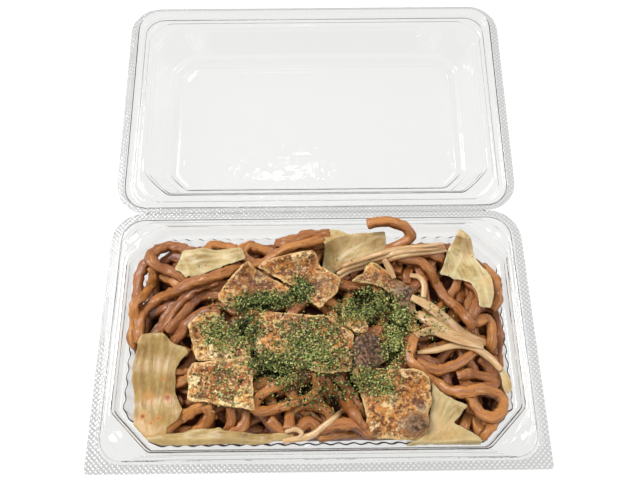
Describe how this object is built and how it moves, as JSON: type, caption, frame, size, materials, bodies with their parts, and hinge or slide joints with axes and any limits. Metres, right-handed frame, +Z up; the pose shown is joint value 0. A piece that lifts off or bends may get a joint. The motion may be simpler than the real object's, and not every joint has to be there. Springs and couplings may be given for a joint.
{
  "type": "noodle dish in a clear hinged box",
  "caption": "Stir-fried thick noodles with pork slices, cabbage, bean sprouts and green flakes in a clear hinged food box, its lid lying open behind.",
  "frame": {"origin": "on the underside of the tray, below its middle, where it rests", "axes": "+Z up, +Y from the tray to the lid, X along the hinge"},
  "size_m": [0.2, 0.2445, 0.0425],
  "materials": {
    "clear_sheet": "clear, thin, glossy",
    "sauced_noodle": "glossy brown sauce",
    "fried_pork": "fried, with sauce and green flakes",
    "cabbage": "wet, translucent",
    "sprout": "wet, translucent"
  },
  "bodies": {
    "tray_with_food": {"tray": "clear_sheet", "noodle_heap": "sauced_noodle", "pork_1": "fried_pork", "pork_2": "fried_pork", "pork_3": "fried_pork", "pork_4": "fried_pork", "pork_5": "fried_pork", "pork_6": "fried_pork", "pork_7": "fried_pork", "pork_8": "fried_pork", "pork_9": "fried_pork", "cabbage_1": "cabbage", "cabbage_2": "cabbage", "cabbage_3": "cabbage", "cabbage_4": "cabbage", "cabbage_5": "cabbage", "cabbage_6": "cabbage", "cabbage_7": "cabbage", "sprout_1": "sprout", "sprout_2": "sprout", "sprout_3": "sprout", "sprout_4": "sprout", "sprout_5": "sprout", "sprout_6": "sprout", "sprout_7": "sprout", "sprout_8": "sprout", "sprout_9": "sprout", "sprout_10": "sprout", "sprout_11": "sprout"},
    "lid": {"lid": "clear_sheet"}
  },
  "joints": [
    {"name": "lid_hinge", "type": "hinge", "parent": "tray_with_food", "child": "lid", "pos_m": [0, 0.062, 0.03], "axis": [1, 0, 0], "range_deg": [-4.4, 175.6]}
  ]
}
